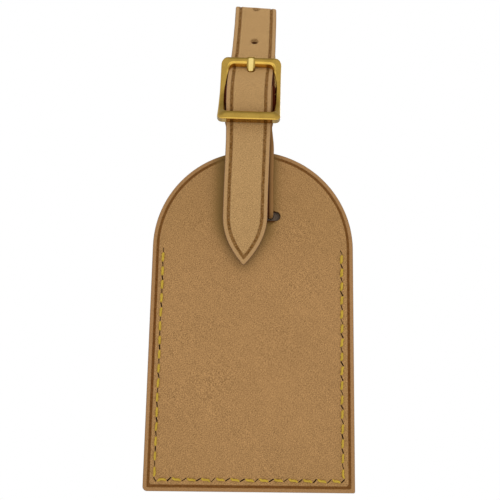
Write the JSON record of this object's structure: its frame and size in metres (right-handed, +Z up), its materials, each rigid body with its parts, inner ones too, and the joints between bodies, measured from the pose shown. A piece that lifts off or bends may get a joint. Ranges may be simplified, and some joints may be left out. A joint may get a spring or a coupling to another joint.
{
  "type": "luggage tag",
  "caption": "Arched leather luggage tag with a sewn card pocket and rear window, hung on a leather strap that loops over a handle and closes with a buckle.",
  "frame": {"origin": "inside top of the strap's loop, where it rests on a handle, half way across the strap", "axes": "+Z up, front face of the tag towards -Y, +X to the right seen from the front"},
  "size_m": [0.065, 0.0274, 0.167],
  "materials": {
    "tag_leather": "undyed tan, smooth, fine pores",
    "strap_leather": "undyed tan, smooth, creased along the edges",
    "thread": "waxed golden thread",
    "film": "clear",
    "card": "matt",
    "brass": "satin, slightly worn"
  },
  "bodies": {
    "strap": {"strap": "strap_leather", "strap_stitch": "thread"},
    "tail": {"strap_tail": "strap_leather"},
    "buckle": {"buckle_frame": "brass"},
    "prong": {"buckle_prong": "brass"},
    "tag": {"front_panel": "tag_leather", "back_panel": "tag_leather", "window_film": "film", "seam_thread": "thread", "bobbin_thread": "thread"},
    "card": {"address_card": "card"}
  },
  "joints": [
    {"name": "tag_swing", "type": "hinge", "parent": "strap", "child": "tag", "pos_m": [0, -0.0119, -0.07775], "axis": [1, 0, 0], "range_deg": [-2.5, 3]},
    {"name": "tail_lift", "type": "hinge", "parent": "strap", "child": "tail", "pos_m": [-0.0023, -0.01845, -0.0507], "axis": [-1, 0, 0], "range_deg": [0, 50], "stiffness_Nm_per_rad": 0.003},
    {"name": "buckle_tilt", "type": "hinge", "parent": "strap", "child": "buckle", "pos_m": [-0.0021, -0.0157, -0.038], "axis": [-1, 0, 0], "range_deg": [0, 2.5]},
    {"name": "prong_lift", "type": "hinge", "parent": "buckle", "child": "prong", "pos_m": [-0.0021, -0.0157, -0.038], "axis": [1, 0, 0], "range_deg": [0, 3]},
    {"name": "card_slide", "type": "slide", "parent": "tag", "child": "card", "axis": [0, 0, 1], "range_m": [0, 0.012]}
  ]
}
